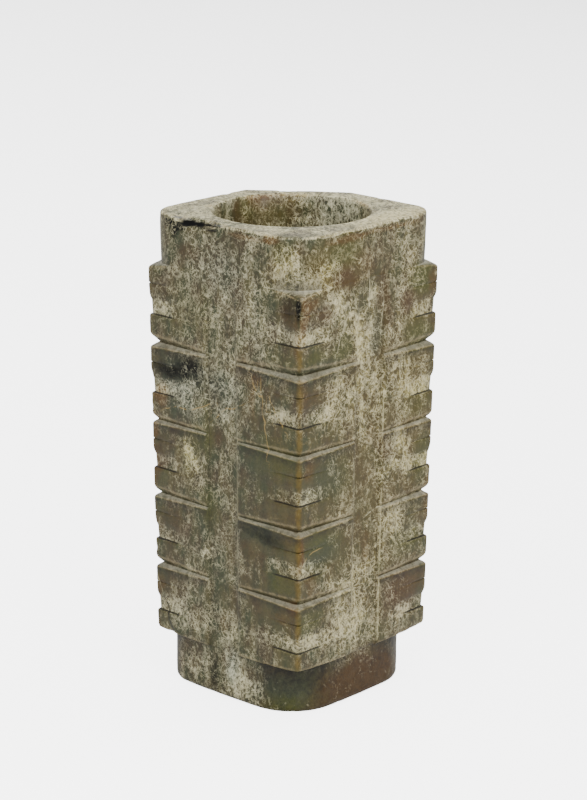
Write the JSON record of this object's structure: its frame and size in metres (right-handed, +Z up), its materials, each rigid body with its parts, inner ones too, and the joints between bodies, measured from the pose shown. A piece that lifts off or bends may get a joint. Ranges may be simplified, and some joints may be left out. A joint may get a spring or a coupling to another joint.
{
  "type": "cong",
  "caption": "Tall square jade tube with a round bore, a collar and a foot, its corners notched into carved tiers of simplified faces.",
  "frame": {"origin": "centre of the underside, on the axis of the bore", "axes": "+Z up along the bore; the four faces with a channel look along +X, +Y, -X and -Y, and the carved corners lie between them; the long chip in the rim is over the -Y face, and the collar is cut off flat at its -X +Y corner"},
  "size_m": [0.0668, 0.0668, 0.1581],
  "materials": {
    "nephrite": "worn polish, olive to brown jade, altered pale grey-buff in mottles and veins"
  },
  "bodies": {
    "root": {"cong": "nephrite"}
  },
  "joints": []
}
